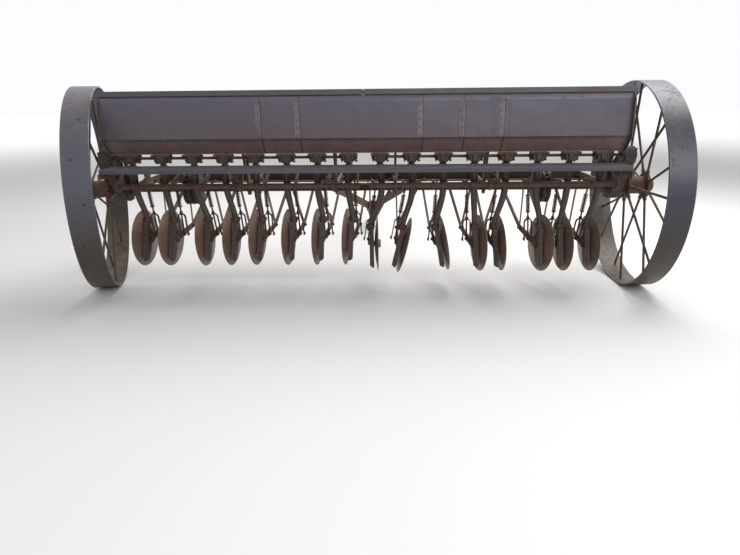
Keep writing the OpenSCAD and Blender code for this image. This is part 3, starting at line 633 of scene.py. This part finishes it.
# Gear cases and lift clutches. Cast housings on the axle: the one at each end of the box
# drives the seed feed, and a ratchet on each half of the axle raises its openers.
cast_iron = rusty("cast_iron", (66, 56, 54), (84, 62, 52), (40, 34, 33),
                  scale=2.2, cover=0.5, relief=0.55, dust=0.25, rub=0.4, rub_width=0.003)
case_iron = rusty("case_iron", (56, 50, 49), (70, 55, 48), (36, 32, 32),
                  scale=1.8, cover=0.45, relief=0.5, dust=0.14, rub=0.4, rub_width=0.003)
coat(cast_iron, "feed_cups", "boots_left", "boots_right")
coat(case_iron, "gear_cases", "lift_clutches")
coat(frame_iron, "rockshaft_left", "rockshaft_right")
case_x = 1.480
case_face = 0.029
case_ring, cap_ring = 0.071, 0.042
clutch_x = 1.0723
feed_y, feed_z = -0.198, 0.798


def round_spot(middle, radius, degrees):
    """A place on a ring about a middle, in Y and Z."""
    a = math.radians(degrees)
    return middle + Vector((0, radius * math.cos(a), radius * math.sin(a)))


case_bolts = []
for s in (-1, 1):
    for turn in (35, 90, 150, 215, 290):
        for face in (-1, 1):
            middle = at(s * case_x + face * case_face, 0, axle_z)
            case_bolts.append((round_spot(middle, case_ring, turn), (face, 0, 0)))
    middle = at(s * (case_x + case_face), feed_y, feed_z)
    for turn in (60, 130, 240):
        case_bolts.append((round_spot(middle, cap_ring, turn), (s, 0, 0)))
make("case_bolts", hex_bolts, spots_mesh(case_bolts), bolt_iron, "root", "casting",
     Across=0.012, Height=0.006, Washer=0.008)


def add_plate(mesh, outline, low, high, place):
    """A plate of one outline in Y and Z that reaches from low to high along X."""
    ends = [[mesh.verts.new((x, y, z)) for y, z in outline] for x in (low, high)]
    faces = [mesh.faces.new(ends[0]), mesh.faces.new(ends[1][::-1])]
    for k in range(len(outline)):
        nxt = (k + 1) % len(outline)
        faces.append(mesh.faces.new((ends[0][k], ends[1][k], ends[1][nxt], ends[0][nxt])))
    bmesh.ops.recalc_face_normals(mesh, faces=faces)
    bmesh.ops.transform(mesh, matrix=place, verts=ends[0] + ends[1])


def plain_mesh(name, shape):
    mesh = bpy.data.meshes.new(name)
    shape.to_mesh(mesh)
    shape.free()
    return mesh


def new_piece(name, shape, finishes, body):
    """A piece that rides on a body. One that is later joined to others has no body."""
    mesh = plain_mesh(name, shape)
    for finish in finishes:
        mesh.materials.append(finish)
    piece = add_object(name, mesh)
    if body:
        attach(piece, body)
    return piece


ratchets = bmesh.new()
teeth = 20
tooth_tip, tooth_root = 0.0985, 0.0865
tooth_half = 0.008
rim = []
for k in range(teeth):
    a = 2 * math.pi * k / teeth
    for reach in (tooth_tip, tooth_root):
        rim.append((reach * math.cos(a), reach * math.sin(a)))
for s in (-1, 1):
    place = Matrix.Translation(at(s * clutch_x, 0, axle_z))
    add_plate(ratchets, rim, -tooth_half, tooth_half, place)
new_piece("lift_ratchets", ratchets, [case_iron], "root")


# Seed box. Folded sheet between two end plates, with flat straps riveted down its back
# where the sheets lap, and rows of rivets along the folds.
strap_x = (-0.573, -0.361, 0.308, 0.533, 0.746)
seam_aside = 0.0145


def strap_seam_shade(tree):
    """The share of the rear sheet in the dark line beside each strap where the sheets lap: painted shade
    in that gap.
    """
    along = part_of(tree, own_place(tree), "X")
    total = 0.0
    for x in strap_x:
        aside = math_node(tree, "SUBTRACT", along, axle_x + x + seam_aside)
        line = ramp_node(tree, math_node(tree, "ABSOLUTE", aside), 0.0055, 0.0025)
        total = math_node(tree, "ADD", total, line)
    return math_node(tree, "MULTIPLY", total, 0.8)


# Below 0.885 m the lower fold keeps a lighter red-brown skin. Above it the sheet is darker grey-brown,
# and from 0.94 m up it turns blue-grey, which is painted sky light on the upper sheet. The dark lines
# beside the straps are painted shade.
box_sheet = rusty("box_sheet", (118, 99, 97), (127, 99, 90), (66, 56, 57),
                  scale=0.6, cover=0.30, runs=0.9, speckle=0.22, smooth=0.40, coarse=0.7,
                  relief=0.14, dents=0.35, dust=0.15, rub=0.5,
                  zones=[(above(0.885, 0.905), (80, 72, 78)), (above(0.94, 1.10), (80, 76, 90)),
                         (strap_seam_shade, (52, 44, 46))])
end_iron = rusty("end_iron", (78, 72, 76), (90, 66, 56), (50, 42, 42),
                 scale=1.2, cover=0.42, speckle=0.4, dents=0.2, dust=0.2, rub=0.6)
lid_sheet = rusty("lid_sheet", (72, 71, 74), (84, 72, 66), (48, 45, 46),
                  scale=0.8, cover=0.35, runs=0.2, speckle=0.25, smooth=0.40, coarse=0.75,
                  relief=0.16, dents=0.3, dust=0.22, rub=0.75, rub_width=0.003,
                  bright=(150, 146, 140))
strap_iron = rusty("strap_iron", (104, 98, 106), (98, 78, 70), (66, 56, 56),
                   scale=1.5, cover=0.45, runs=0.8, speckle=0.4, smooth=0.4, dust=0.1, rub=0.8)
coat(box_sheet, "box_rear", "box_front", "box_floor")
coat(end_iron, "box_end_left", "box_end_right")
coat(lid_sheet, "lid_left", "lid_right")

box_rivets = []
for x in strap_x:
    for z in (0.925, 0.965, 1.006, 1.047, 1.087):
        box_rivets.append((at(x, -0.3085, z), (0, -1, 0)))
fold_rivets = 40
fold_len = 2.84
for k in range(fold_rivets):
    x = (k + 0.5) / fold_rivets * fold_len - fold_len / 2
    box_rivets.append((at(x, -0.2945, 0.8985), (0, -0.73, -0.68)))
    box_rivets.append((at(x, 0.0752, 1.108), (0, 1, 0)))
make("box_rivets", rivets, spots_mesh(box_rivets), box_sheet, "root", "box_sheet",
     Radius=0.0055, Height=0.0028)


def add_block(mesh, place, size, tilt=0.0, axis="X"):
    bmesh.ops.create_cube(mesh, size=1.0, matrix=Matrix.Translation(place)
                          @ Matrix.Rotation(tilt, 4, axis) @ Matrix.Diagonal((*size, 1)))


straps = bmesh.new()
for x in strap_x:
    add_block(straps, at(x, -0.3066, 1.006), (0.024, 0.0042, 0.178))
bmesh.ops.bevel(straps, geom=straps.edges[:], offset=0.0012, segments=2, affect="EDGES")
new_piece("box_straps", straps, [strap_iron], "root")


# Lids. Each half is a flat sheet whose rear edge is folded down and wired round, so a
# thin bead runs along the fold's end.
def circle(tree, sides, radius):
    return node(tree, "GeometryNodeCurvePrimitiveCircle",
                {"Resolution": sides, "Radius": radius}, mode="RADIUS").outputs[0]


def round_bar(tree, line, sides, radius, capped=True):
    """A smooth round bar along a line."""
    bar = node(tree, "GeometryNodeCurveToMesh", {
        "Curve": line, "Profile Curve": circle(tree, sides, radius), "Fill Caps": capped,
    })
    return node(tree, "GeometryNodeSetShadeSmooth", {0: bar.outputs[0]}).outputs[0]


def build_round_rods():
    """Each line of the mesh as a round bar with closed ends."""
    tree, given, result = new_tree("round_rods", Radius=0.005)
    line = node(tree, "GeometryNodeMeshToCurve", {0: given[0]})
    return end_tree(tree, given, result, round_bar(tree, line.outputs[0], 16, given["Radius"]))


round_rods = build_round_rods()
for name in ("left", "right"):
    low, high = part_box("lid_" + name)
    ends = [((x, axle_y - 0.2895, 1.1395), (0, 0, 1)) for x in (low.x + 0.003, high.x - 0.003)]
    make("lid_bead_" + name, round_rods, spots_mesh(ends, True), lid_sheet, "lid_" + name,
         "lid_sheet", Radius=0.0042)


# Feed cups. Sixteen cast cups hang under the box floor by their flanges, each with a
# bolted side cap on the feed shaft, a gate on its rear face and a lever that sets it.
def add_round(mesh, place, radius, length, axis, sides=20):
    turn = Matrix.Rotation(math.pi / 2, 4, "Y") if axis == "X" else Matrix.Identity(4)
    bmesh.ops.create_cone(mesh, cap_ends=True, segments=sides, radius1=radius, radius2=radius,
                          depth=length, matrix=Matrix.Translation(place) @ turn)


def build_copies(source):
    """The same piece at each point, unturned."""
    tree, given, result = new_tree("copies_of_" + source.name)
    held = node(tree, "GeometryNodeObjectInfo", {0: source}, transform_space="ORIGINAL")
    spots = node(tree, "GeometryNodeInstanceOnPoints",
                 {"Points": given[0], "Instance": held.outputs["Geometry"]})
    return end_tree(tree, given, result, spots.outputs[0])


cup_trim = bmesh.new()
add_block(cup_trim, (0, -0.2425, 0.8145), (0.104, 0.012, 0.013))
add_block(cup_trim, (0, -0.2445, 0.7915), (0.030, 0.010, 0.034))
add_block(cup_trim, (0.018, -0.2500, 0.7900), (0.009, 0.006, 0.052), 0.30, "Y")
for side in (-1, 1):
    add_round(cup_trim, (side * 0.0395, feed_y, feed_z), 0.030, 0.006, "X")
    add_round(cup_trim, (side * 0.0440, feed_y, feed_z), 0.015, 0.008, "X")
bmesh.ops.bevel(cup_trim, geom=cup_trim.edges[:], offset=0.0012, segments=1, affect="EDGES")
cup_source = add_object("cup_trim", plain_mesh("cup_trim", cup_trim))
row_x = [(i - 7.5) * row_pitch for i in range(16)]
make("cup_trims", build_copies(cup_source), spots_mesh([(at(x, 0, 0), (0, 0, 1)) for x in row_x]),
     cast_iron, "root", "casting")
bpy.data.objects.remove(cup_source)

cup_bolts = []
for x in row_x:
    for side in (-1, 1):
        cup_bolts.append((at(x + side * 0.043, -0.2487, 0.8145), (0, -1, 0)))
    for turn in (30, 150, 270):
        cup_bolts.append((round_spot(at(x + 0.0425, feed_y, feed_z), 0.023, turn), (1, 0, 0)))
make("cup_screws", hex_bolts, spots_mesh(cup_bolts), bolt_iron, "root", "casting",
     Across=0.009, Height=0.004, Washer=0.006)


# Openers. Each row's two drawbars run back from the pivot rod and meet under the axle;
# a tail bar carries on from there to the boot, whose disc opens the soil.
SWING, LEAN = 0, 1
heads = [
    (19, 0), (1, 0), (31, -2), (17, 0), (-3, 1), (8, 0), (6, 0), (4, 1),
    (-49, 0), (-56, 15), (-10, -8), (29, 0), (-26, -3), (53, 4), (-1, 0), (-21, 0),
]
swing_reach = 560
halves = (("left", range(8)), ("right", range(8, 16)))
right_drop = 5
toe = 7
head_x, head_y, head_z = 0.040, -0.340, 0.350
tail_len = 0.220
head_drop = -0.035
boot_face = 0.020
bar_face = 0.0045
bar_bolts = ((-0.004, -0.001), (-0.190, -0.030), (-tail_len, head_drop))


def side_of(i):
    return 1 if i < 8 else -1


def gang_place(i):
    """How far the openers of row i have sunk about the pivot rod."""
    sunk = right_drop if i >= 8 else 0
    return (Matrix.Translation(pivot) @ spin(sunk, "X") @ Matrix.Translation(-pivot)
            @ Matrix.Translation(at(0, 0, 0)))


def head_place(i):
    """Head i's own space, at the meeting point of its drawbars, turned as it stands."""
    s = side_of(i)
    swing = math.atan(heads[i][SWING] / swing_reach)
    return (gang_place(i) @ Matrix.Translation((row_x[i], pivot_y, 0))
            @ Matrix.Rotation(swing, 4, "Z") @ Matrix.Translation((s * head_x, head_y, head_z))
            @ spin(-s * toe, "Z") @ spin(heads[i][LEAN], "Y"))


def round_bar_outline(first, last, first_r, last_r, steps=8):
    """The outline of a flat bar with round ends between two points in Y and Z."""
    way = math.atan2(last[1] - first[1], last[0] - first[0])
    outline = []
    for centre, radius, turn in ((first, first_r, math.pi / 2), (last, last_r, -math.pi / 2)):
        for k in range(steps + 1):
            a = way + turn + math.pi * k / steps
            outline.append((centre[0] + radius * math.cos(a), centre[1] + radius * math.sin(a)))
    return outline


bar_iron = rusty("bar_iron", (78, 62, 56), (94, 66, 52), (46, 37, 34),
                 scale=1.7, cover=0.6, relief=0.4, dust=0.3, rub=0.5, rub_width=0.003,
                 bright=(146, 122, 106))
coat(bar_iron, "drawbars_left", "drawbars_right")
# The two bars down a boot's rear, from its funnel to its foot, in the boot's Y and Z
channel = (round_bar_outline((-0.036, 0.092), (-0.060, 0), 0.016, 0.014),
           round_bar_outline((-0.060, 0), (-0.084, -0.106), 0.014, 0.011))
for name, rows in halves:
    bolts = []
    channels = bmesh.new()
    for i in rows:
        place, s = head_place(i), side_of(i)
        for y, z in bar_bolts:
            for face in (-1, 1):
                under_boot = face == -s and y < -0.1
                if not under_boot:
                    bolts.append((place @ Vector((face * bar_face, y, z)), faced(place, face)))
        boot = place @ Matrix.Translation((0, -tail_len, head_drop))
        for outline in channel:
            add_plate(channels, outline, -0.006, 0.0055, boot)
    make("opener_bolts_" + name, hex_bolts, spots_mesh(bolts), bolt_iron, "openers_" + name, "bar",
         Across=0.017, Height=0.008, Washer=0.012)
    new_piece("boot_channels_" + name, channels, [cast_iron], "openers_" + name)


# Discs. Dished steel blades, rusted brown all over, with a riveted hub in the hollow and
# dry soil on the lower part; each turns on its boot's spindle.
# Above 0.34 m the discs turn a pale pink-tan: a painted sunlit highlight on their upper part.
disc_steel = rusty("disc_steel", (108, 94, 86), (118, 86, 72), (60, 49, 45),
                   scale=1.3, cover=0.45, speckle=0.4, smooth=0.34, coarse=0.6, relief=0.25,
                   dust=0.45, rub=0.8, rub_width=0.003, bright=(176, 150, 132),
                   zones=[(above(0.34, 0.46), (158, 132, 118))])
hub_rivets = 6
hub_ring = 0.0335
disc_gap, hub_depth = 0.005, 0.0138
for i in range(16):
    number = "%02d" % (i + 1)
    coat(disc_steel, "disc_" + number)
    place, s = head_place(i), side_of(i)
    hub_face = Vector((-s * (boot_face + disc_gap + hub_depth), -tail_len, head_drop))
    spots = []
    for k in range(hub_rivets):
        spot = round_spot(hub_face, hub_ring, 360 / hub_rivets * k + 17 * i)
        spots.append((place @ spot, faced(place, -s)))
    make("disc_rivets_" + number, rivets, spots_mesh(spots), bolt_iron, "disc_" + number, "disc",
         Radius=0.0042, Height=0.003)


# Lift rods. A round rod with an eye at each end joins each opener to its rockshaft arm.
# It goes through a strap bent over the same pin, and a wound spring presses the disc down.
def build_springs():
    """A wound spring from each point along its axis, with a washer at either end."""
    tree, given, result = new_tree("springs", Radius=0.0104, Wire=0.0024, Length=0.096, Turns=10.0)
    line = node(tree, "GeometryNodeCurveSpiral", {
        "Resolution": 16, "Rotations": given["Turns"], "Start Radius": given["Radius"],
        "End Radius": given["Radius"], "Height": given["Length"],
    })
    wound = round_bar(tree, line.outputs[0], 8, given["Wire"])
    washer = cylinder(tree, 20, 0.013, 0.005)
    over = math_node(tree, "ADD", given["Length"], 0.0035)
    spring = joined(tree, wound, raised(tree, washer, -0.004), raised(tree, washer, over))
    return end_on_points(tree, given, result, spring, 9)


def build_eyes():
    """A forged ring about each point's axis."""
    tree, given, result = new_tree("eyes", Radius=0.0102, Wire=0.0042)
    eye = round_bar(tree, circle(tree, 24, given["Radius"]), 10, given["Wire"], False)
    return end_on_points(tree, given, result, eye, 11)


def stirrup(wide=0.052, high=0.132, thick=0.006, deep=0.014, foot=-0.011, steps=14):
    """A flat strap bent to an arch over its pin, with a round boss where the rod goes through."""
    shape = bmesh.new()
    half = wide / 2
    corners = ((half, -1), (half, 1), (half - thick, 1), (half - thick, -1))
    rings = []
    for k in range(-1, steps + 2):
        at_foot = k in (-1, steps + 1)
        a = math.pi * min(max(k, 0), steps) / steps
        ring = []
        for reach, face in corners:
            z = foot if at_foot else high - half + reach * math.sin(a)
            ring.append(shape.verts.new((reach * math.cos(a), face * deep / 2, z)))
        rings.append(ring)
    faces = [shape.faces.new(rings[0][::-1]), shape.faces.new(rings[-1])]
    for a, b in zip(rings, rings[1:]):
        faces += [shape.faces.new((a[k], a[(k + 1) % 4], b[(k + 1) % 4], b[k])) for k in range(4)]
    bmesh.ops.recalc_face_normals(shape, faces=faces)
    sharp = [edge for edge in shape.edges if edge.calc_face_angle(0) > 0.8]
    bmesh.ops.bevel(shape, geom=sharp, offset=0.001, segments=1, affect="EDGES")
    add_round(shape, (0, 0, high + 0.001), 0.0100, 0.018, "Z")
    for side in (-1, 1):
        add_round(shape, (side * (half + 0.002), 0, 0), 0.0088, 0.006, "X", sides=6)
    return plain_mesh("stirrup", shape)


def joined_piece(name, parts, body):
    """One piece of several plain ones."""
    whole = bmesh.new()
    finishes = []
    for part in parts:
        first_face, first_finish = len(whole.faces), len(finishes)
        finishes += list(part.data.materials)
        whole.from_mesh(part.data)
        whole.faces.ensure_lookup_table()
        for face in whole.faces[first_face:]:
            face.material_index += first_finish
        bpy.data.objects.remove(part)
    return new_piece(name, whole, finishes, body)


springs = build_springs()
eyes = build_eyes()
one_stirrup = stirrup()
pin_x, pin_share = 0.013, 0.72
arm_pin = (0.024, -0.095, 0.690)
coil_share = 0.46
eye_r = 0.012
spring_steel = rusty("spring_steel", (96, 80, 74), (116, 74, 54), (56, 42, 38),
                     scale=3.0, cover=0.6, smooth=0.4, dust=0.2, rub=0.6, rub_width=0.0012)
for name, rows in halves:
    rod_ends, ring_spots, spring_spots = [], [], []
    arches = bmesh.new()
    for i in rows:
        place, s = head_place(i), side_of(i)
        foot = place @ Vector((s * pin_x, -tail_len * pin_share, head_drop * pin_share))
        top = gang_place(i) @ Vector((row_x[i] + s * arm_pin[0], arm_pin[1], arm_pin[2]))
        way = (top - foot).normalized()
        across = faced(place, 1)
        across = (across - way * across.dot(way)).normalized()
        upright = Matrix((across, way.cross(across), way)).transposed().to_4x4()
        one = one_stirrup.copy()
        one.transform(Matrix.Translation(foot) @ upright)
        arches.from_mesh(one)
        rod_ends += [(foot + way * eye_r, way), (top - way * eye_r, way)]
        ring_spots += [(foot, faced(place, 1)), (top, (1, 0, 0))]
        spring_spots.append((foot + way * (0.010 + coil_share * (top - foot).length), way))
    parts = [
        new_piece("arches", arches, [rod_iron], None),
        make("rods", round_rods, spots_mesh(rod_ends, True), rod_iron, None, "bar", Radius=0.005),
        make("rings", eyes, spots_mesh(ring_spots), rod_iron, None, "bar"),
        make("coils", springs, spots_mesh(spring_spots), spring_steel, None, "bar"),
    ]
    lift_rods = joined_piece("spring_rods_" + name, parts, "openers_" + name)
    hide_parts("lift_rods_" + name)


# Seed tubes. Each is a steel ribbon wound into a tapered tube that runs from the cup's
# spout past the rockshaft's arm into the boot's funnel.
def captured(tree, curve, value, label):
    """The curve with a number kept on each of its points, and that number."""
    made = node(tree, "GeometryNodeCaptureAttribute", {0: curve}, domain="POINT")
    made.capture_items.new("FLOAT", label)
    tree.links.new(value, made.inputs[1])
    return made.outputs[0], made.outputs[1]


def build_ribbon_tubes():
    """Each line of the mesh as a tube whose wall steps out once every turn."""
    tree, given, result = new_tree("ribbon_tubes", Top=0.0205, Low=0.0145, Step=0.0022, Turns=26.0)
    line = node(tree, "GeometryNodeMeshToCurve", {0: given[0]})
    even = node(tree, "GeometryNodeResampleCurve", {"Curve": line.outputs[0], "Count": 209},
                mode="COUNT")
    along = node(tree, "GeometryNodeSplineParameter").outputs["Factor"]
    taper = node(tree, "ShaderNodeMapRange", {
        "Value": along, "To Min": given["Top"], "To Max": given["Low"],
    })
    path, down = captured(tree, even.outputs[0], along, "Down")
    ring, around = captured(tree, circle(tree, 20, 1.0), along, "Round")
    wall = node(tree, "GeometryNodeCurveToMesh",
                {"Curve": path, "Profile Curve": ring, "Scale": taper.outputs["Result"]})
    turned = math_node(tree, "MULTIPLY_ADD", down, given["Turns"], around)
    lift = math_node(tree, "MULTIPLY", math_node(tree, "FRACT", turned), given["Step"])
    normal = node(tree, "GeometryNodeInputNormal")
    push = node(tree, "ShaderNodeVectorMath", {0: normal.outputs[0], "Scale": lift},
                operation="SCALE")
    stepped = node(tree, "GeometryNodeSetPosition",
                   {"Geometry": wall.outputs[0], "Offset": push.outputs[0]})
    return end_tree(tree, given, result, stepped.outputs[0])


ribbon_tubes = build_ribbon_tubes()
tube_steel = rusty("tube_steel", (60, 50, 49), (76, 57, 49), (40, 33, 32),
                   scale=1.6, cover=0.45, speckle=0.5, smooth=0.38, coarse=0.7, relief=0.25,
                   dust=0.15, rub=0.5, rub_width=0.002)
path_steps = 32
spout_z = 0.748
bent_from = 0.40
bow_out = 0.008
for name, rows in halves:
    points, joins, collars = [], [], []
    for i in rows:
        start = at(row_x[i], feed_y, spout_z)
        mouth = head_place(i) @ Vector((0, -tail_len - 0.030, head_drop + 0.120))
        bends = [start, start + Vector((0, 0.020, -0.08)), mouth + Vector((0, -0.01, 0.10)), mouth]
        first = len(points)
        for k in range(path_steps + 1):
            t = k / path_steps
            shares = ((1 - t) ** 3, 3 * t * (1 - t) ** 2, 3 * t * t * (1 - t), t ** 3)
            point = sum((share * bend for share, bend in zip(shares, bends)), Vector())
            over = max(0.0, (t - bent_from) / (1 - bent_from))
            over = over * over * (3 - 2 * over)
            bow = side_of(i) * bow_out * math.sin(math.pi * t)
            point.x = start.x + (mouth.x - start.x) * over - bow
            points.append(point)
        joins += [(first + k, first + k + 1) for k in range(path_steps)]
        collars.append((start - Vector((0, 0, 0.009)), (0, 0, 1)))
    path = bpy.data.meshes.new("tube_paths")
    path.from_pydata([tuple(p) for p in points], joins, [])
    tubes = make("ribbon_tubes_" + name, ribbon_tubes, path, tube_steel, None, "seed_tube")
    middle = sum(points[path_steps::path_steps + 1], Vector()) / len(rows)
    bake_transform(tubes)
    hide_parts("seed_tubes_" + name)
    make("tube_collars_" + name, spoke_nuts, spots_mesh(collars), cast_iron, "root", "casting",
         Wide=0.0245, Narrow=0.0235, Height=0.018)


# Footboard. One long weathered plank behind the box, held on the brackets' ends by
# bolts with round heads.
board_wood, tree = new_material("board_wood")
place = own_place(tree)
grain = noise(tree, stretched(tree, place, (1.6, 34.0, 60.0)), 1.0, 9.0, 0.7, 0.5)
stains = ramp_node(tree, noise(tree, place, 2.6, 6.0, 0.6), 0.45, 0.70, 0.0, 0.35)
cracks = ramp_node(tree, grain, 0.30, 0.40, 1.0, 0.0)
# The plank's two greys carry a blue cast: painted sky reflection on its top.
colour = blend_node(tree, ramp_node(tree, grain, 0.35, 0.68), linear(60, 60, 71), linear(79, 78, 90))
colour = blend_node(tree, stains, colour, linear(76, 64, 60))
colour = blend_node(tree, cracks, colour, linear(46, 42, 44))
dusted = node(tree, "ShaderNodeGroup", {"Color": colour, "Amount": 0.25}, node_tree=field_dust)
bump = node(tree, "ShaderNodeBump", {"Height": grain, "Strength": 0.55, "Distance": 0.003})
end_shader(tree, node(tree, "ShaderNodeBsdfPrincipled", {
    "Base Color": dusted.outputs["Color"], "Roughness": 0.82, "Normal": bump.outputs[0],
}))
coat(board_wood, "footboard")
board_top = 0.7598
board_bolts = [(at(x, y, board_top), (0, 0, 1)) for x in stand_x for y in (-0.420, -0.290)]
make("board_bolts", rivets, spots_mesh(board_bolts), bolt_iron, "root", "bar",
     Radius=0.010, Height=0.0035)

bpy.context.scene.view_settings.view_transform = "Standard"
